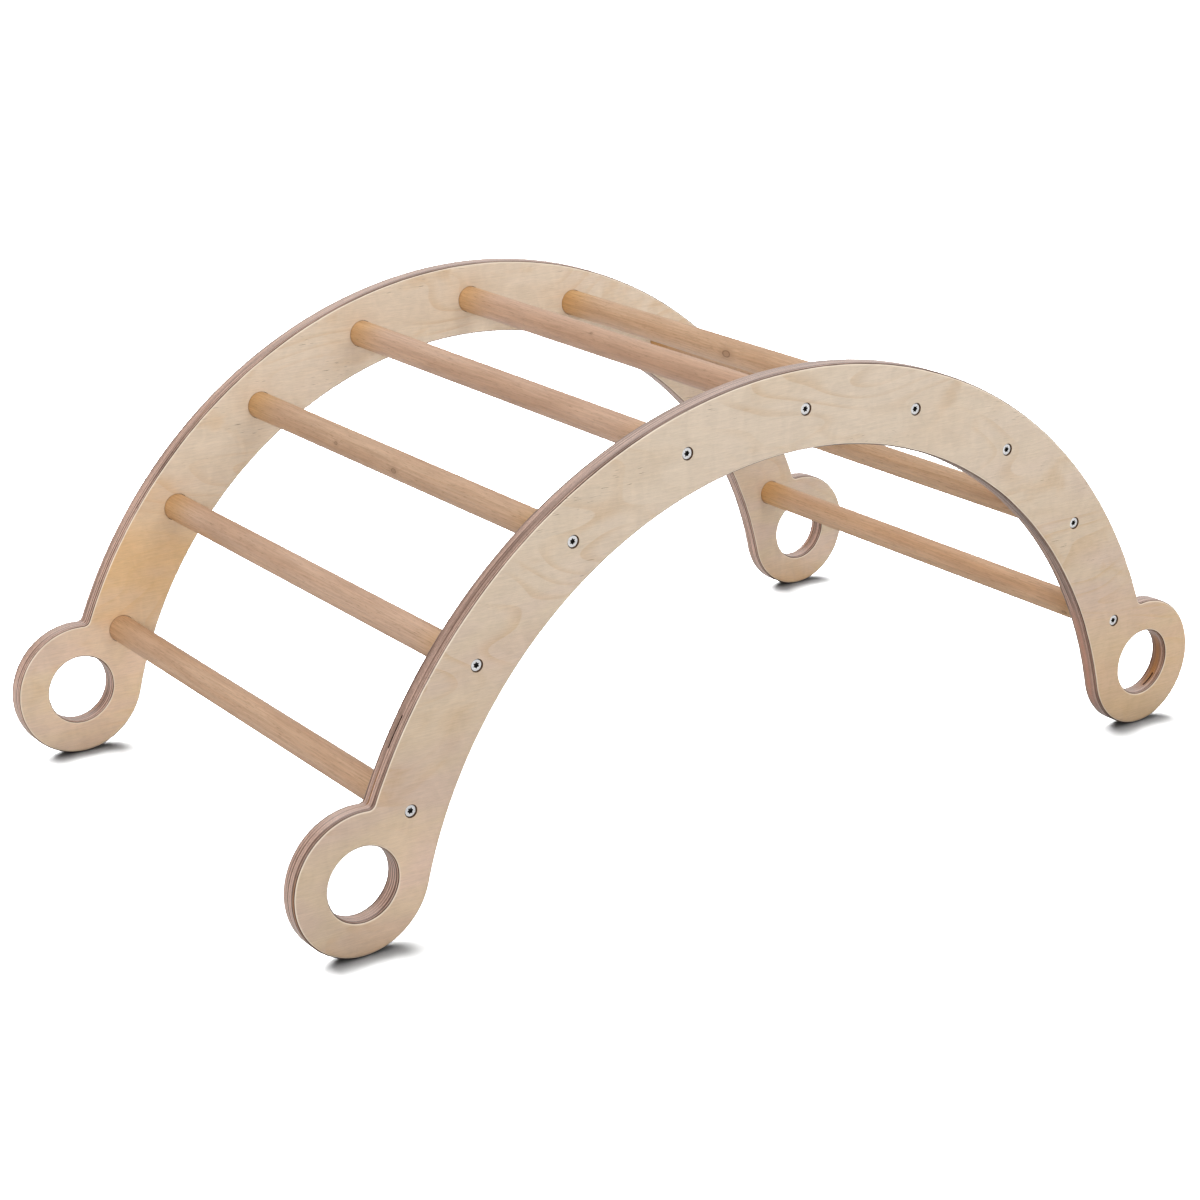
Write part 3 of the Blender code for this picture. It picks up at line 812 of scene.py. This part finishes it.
def screw_blank(metal):
    """A countersunk screw along Z without its recess, pointing down, with Z = 0 on its head's top."""
    neck = -HEAD_RIM - (HEAD_RADIUS - CORE_RADIUS)
    head = [
        (HEAD_RADIUS - HEAD_ROUNDING, 0.0),
        (HEAD_RADIUS, -HEAD_ROUNDING),
        (HEAD_RADIUS, -HEAD_RIM),
        (CORE_RADIUS, neck),
    ]
    shape = bmesh.new()
    rings = [add_ring(shape, height, lambda turn: radius) for radius, height in head]
    step = THREAD_PITCH / THREAD_ROWS
    height = neck - step
    while height > -SCREW_LENGTH:
        rings.append(add_ring(shape, height, lambda turn: thread_radius(height, neck, turn)))
        height -= step
    for above, below in zip(rings, rings[1:]):
        for i in range(SCREW_SEGMENTS):
            j = (i + 1) % SCREW_SEGMENTS
            shape.faces.new((above[i], below[i], below[j], above[j]))
    shape.faces.new(rings[0])
    shape.faces.new(list(reversed(rings[-1])))
    bmesh.ops.recalc_face_normals(shape, faces=shape.faces)
    mesh = bpy.data.meshes.new("screw")
    shape.to_mesh(mesh)
    shape.free()
    mesh.materials.append(metal)
    return add_object("screw", mesh)


def screw_mesh(metal, recess_metal):
    """A screw with its six-lobed recess cut into the head."""
    blank = screw_blank(metal)
    points = []
    for i in range(RECESS_SEGMENTS):
        angle = 2 * math.pi * i / RECESS_SEGMENTS
        radius = RECESS_RADIUS + RECESS_LOBE * math.cos(RECESS_LOBES * angle)
        points.append((radius * math.cos(angle), radius * math.sin(angle)))
    star = filled_outlines("recess", [points], (RECESS_DEPTH + CUT_OVERRUN) / 2)
    star.materials.append(recess_metal)
    cut(blank, add_object("recess", star, (0, 0, (CUT_OVERRUN - RECESS_DEPTH) / 2)))
    mesh = blank.data
    bpy.data.objects.remove(blank)
    return mesh


def screws(side_name, side, pattern):
    rng = np.random.default_rng(NEAR_SCREW_SEED if side < 0 else FAR_SCREW_SEED)
    for number in range(1, RUNG_COUNT + 1):
        centre = rung_centre(number)
        place = (centre.x, side * (HALF_WIDTH - HEAD_SINK), centre.z)
        item = add_object(f"woodscrew_{side_name}_{number}", pattern.copy(), place, facing(side))
        item.rotation_euler.rotate_axis("Z", rng.uniform(0, RECESS_TURN))
        bake_place(item)
        smooth(item)
        stand_for(item, f"screw_{side_name}_{number}")


# Stage

def stage_floor():
    bpy.ops.mesh.primitive_plane_add(size=FLOOR_SIZE, location=(0, 0, -FLOOR_DROP))
    floor = bpy.context.object
    floor.name = "floor"
    floor.data.materials.append(floor_paper())

    # A broad light from above and behind, for the floor only, which draws the contact shadows
    lamp = bpy.data.lights.new("floor_light", "SUN")
    lamp.energy = FLOOR_SUN
    lamp.angle = FLOOR_SUN_ANGLE
    item = add_object("floor_light", lamp)
    item.rotation_euler = Vector(FLOOR_SUN_DIRECTION).to_track_quat("-Z", "Y").to_euler()
    lit = bpy.data.collections.new("lit_by_floor_light")
    lit.objects.link(floor)
    item.light_linking.receiver_collection = lit


def soft_box():
    lamp = bpy.data.lights.new("soft_box", "AREA")
    lamp.shape = "SQUARE"
    lamp.size = SOFT_BOX_SIZE
    lamp.energy = SOFT_BOX_WATTS
    item = add_object("soft_box", lamp, SOFT_BOX_PLACE)
    line = Vector(SOFT_BOX_AIM) - Vector(SOFT_BOX_PLACE)
    item.rotation_euler = line.to_track_quat("-Z", "Y").to_euler()


def studio():
    """Soft white light from all sides, brightest from above."""
    world = bpy.data.worlds.new("studio")
    bpy.context.scene.world = world
    world.use_nodes = True
    tree = world.node_tree
    background = tree.nodes["Background"]
    background.inputs["Color"].default_value = (1, 1, 1, 1)
    direction_node = tree.nodes.new("ShaderNodeTexCoord").outputs["Generated"]
    to_camera = tree.nodes.new("ShaderNodeVectorTransform")
    to_camera.vector_type = "VECTOR"
    to_camera.convert_from = "WORLD"
    to_camera.convert_to = "CAMERA"
    tree.links.new(direction_node, to_camera.inputs["Vector"])

    def part(vector, axis, low, high, at_low, at_high):
        split = tree.nodes.new("ShaderNodeSeparateXYZ")
        tree.links.new(vector, split.inputs[0])
        ramp = tree.nodes.new("ShaderNodeMapRange")
        ramp.interpolation_type = "SMOOTHSTEP"
        ramp.inputs["From Min"].default_value = low
        ramp.inputs["From Max"].default_value = high
        ramp.inputs["To Min"].default_value = at_low
        ramp.inputs["To Max"].default_value = at_high
        tree.links.new(split.outputs[axis], ramp.inputs["Value"])
        return ramp.outputs["Result"]

    parts = [
        part(direction_node, "Z", 0.0, 1.0, 0.0, SKY_OVERHEAD),
        part(to_camera.outputs["Vector"], "Z", -0.7, 0.7, SKY_FRONT, SKY_BACK),
        part(to_camera.outputs["Vector"], "X", -0.9, 0.9, SKY_LEFT, SKY_RIGHT),
    ]
    total = parts[0]
    for other in parts[1:]:
        add = tree.nodes.new("ShaderNodeMath")
        tree.links.new(total, add.inputs[0])
        tree.links.new(other, add.inputs[1])
        total = add.outputs[0]
    seen = tree.nodes.new("ShaderNodeLightPath").outputs["Is Camera Ray"]
    strength = tree.nodes.new("ShaderNodeMix")
    tree.links.new(seen, strength.inputs[0])
    tree.links.new(total, strength.inputs[2])
    strength.inputs[3].default_value = 1.0
    tree.links.new(strength.outputs[0], background.inputs["Strength"])
    soft_box()
    bpy.context.scene.view_settings.view_transform = "Standard"


def fill_light(camera, pieces):
    """A light that moves with the camera, for the pieces only, which reaches under the arch."""
    lamp = bpy.data.lights.new("fill_light", "SUN")
    lamp.energy = FILL_SUN
    lamp.angle = FILL_ANGLE
    item = add_object("fill_light", lamp)
    item.parent = camera
    lit = bpy.data.collections.new("lit_by_fill_light")
    for piece in pieces:
        lit.objects.link(piece)
    item.light_linking.receiver_collection = lit


def photographer():
    """The camera: a short telephoto lens, a little above the arch, seen from its near left."""
    level = math.cos(ELEVATION)
    back = Vector((math.sin(AZIMUTH) * level, -math.cos(AZIMUTH) * level, math.sin(ELEVATION)))
    camera_data = bpy.data.cameras.new("camera")
    camera_data.sensor_width = SENSOR
    camera_data.lens = LENS
    camera = add_object("camera", camera_data, Vector(CAMERA_AIM) + back * CAMERA_DISTANCE)
    camera.rotation_mode = "QUATERNION"
    camera.rotation_quaternion = (-back).to_track_quat("-Z", "Y")
    camera.rotation_mode = "XYZ"
    camera.rotation_euler.rotate_axis("Z", ROLL)
    bpy.context.scene.camera = camera
    return camera


def side_panels():
    # Both are given very dark colours: painted shade on the bored walls and deep in the gaps
    bore = raw_wood("bored_wood", (0.070, 0.040, 0.024), (0.150, 0.090, 0.056))
    gap = raw_wood("open_gap", (0.008, 0.004, 0.002), (0.030, 0.014, 0.008))
    arcs_centre = (0.0, ARC_Z)
    right_ring = (RING_X, RING_Z)
    # A pool of painted light on each panel, low on the right of the left ring, where less light bounces up
    # from the floor
    painted_light_x = 0.045 - RING_X

    amber = (-0.02, 0.13, 0.50, 0.16)
    pale = (0.12, 0.36)
    painted_light_pool = (painted_light_x, 0.045, 0.09, (1.20, 1.17, 1.17))
    stains = [
        (RING_X + RING_HOLE_RADIUS, RING_Z - 0.004, 0.045, 6, CORE_AMBER),
        # The red stain by the right leg's inner edge is also painted light: its colour is paler than the
        # shaded plies that it covers
        (RING_X - RING_RADIUS - 0.010, RING_Z + 0.015, 0.080, 7, CORE_RED),
    ]
    near = plywood("birch_plywood_near", 2.0, 0.81, 0.92, amber, pale, painted_light_pool, stains)

    amber = (0.075, 0.090, 0.85, -0.28)
    pale = (0.02, 0.36)
    painted_light_pool = (painted_light_x, 0.050, 0.12, (1.27, 1.21, 1.12))
    # The far panel's higher tone and lift are painted light, for the light that the near panel and the
    # rungs keep from it
    far = plywood("birch_plywood_far", 5.0, 0.915, 1.13, amber, pale, painted_light_pool, [])

    left_gap = (math.radians(-62.7), math.radians(-59.3), 0.0083 - HALF_WIDTH, GAP_HEIGHT)
    hole_gap = (math.radians(128), math.radians(156), 0.0080 - HALF_WIDTH, GAP_HEIGHT)
    far_slit = (math.radians(-54), math.radians(-46), INNER_FACE_Y + SLIT_DEPTH, SLIT_HEIGHT)
    near_gaps = [(arcs_centre, OUTER_RADIUS, -1, *left_gap), (right_ring, RING_HOLE_RADIUS, 1, *hole_gap)]
    side_panel("near", -1, near, bore, gap, near_gaps)
    side_panel("far", 1, far, bore, gap, [(arcs_centre, OUTER_RADIUS, -1, *far_slit)])


# Of each rung, left to right: turn of the growth rings, tone, warmth, strength of the tint at its ends,
# and knots, each with its angle in degrees, its place along Y and its size
RUNGS = [
    (0.3, 1.00, 0.03, 0.4, []),
    (1.1, 1.00, 0.00, 1.0, []),
    (1.9, 0.97, 0.03, 1.0, [(-80, 0.084, 0.0016), (-90, -0.014, 0.0024)]),
    (2.6, 1.05, -0.01, 1.0, []),
    (0.8, 1.06, -0.01, 1.0, [(-45, 0.029, 0.0012)]),
    (1.5, 0.98, 0.05, 1.0, [(-84, -0.019, 0.0036)]),
    (2.2, 1.00, 0.05, 1.0, []),
    (0.1, 1.00, 0.06, 1.0, []),
    (1.3, 1.06, 0.05, 1.0, [(-113, -0.211, 0.0020)]),
]


def build():
    side_panels()
    for number, looks in enumerate(RUNGS, 1):
        rung(number, dowel(f"beech_{number}", number, rung_centre(number), *looks))

    pattern = screw_mesh(zinc(), dark_recess())
    screws("near", -1, pattern)
    screws("far", 1, pattern)

    pieces = [item for item in bpy.context.scene.objects if item.name.startswith(PIECE_NAMES)]
    stage_floor()
    studio()
    fill_light(photographer(), pieces)


build()
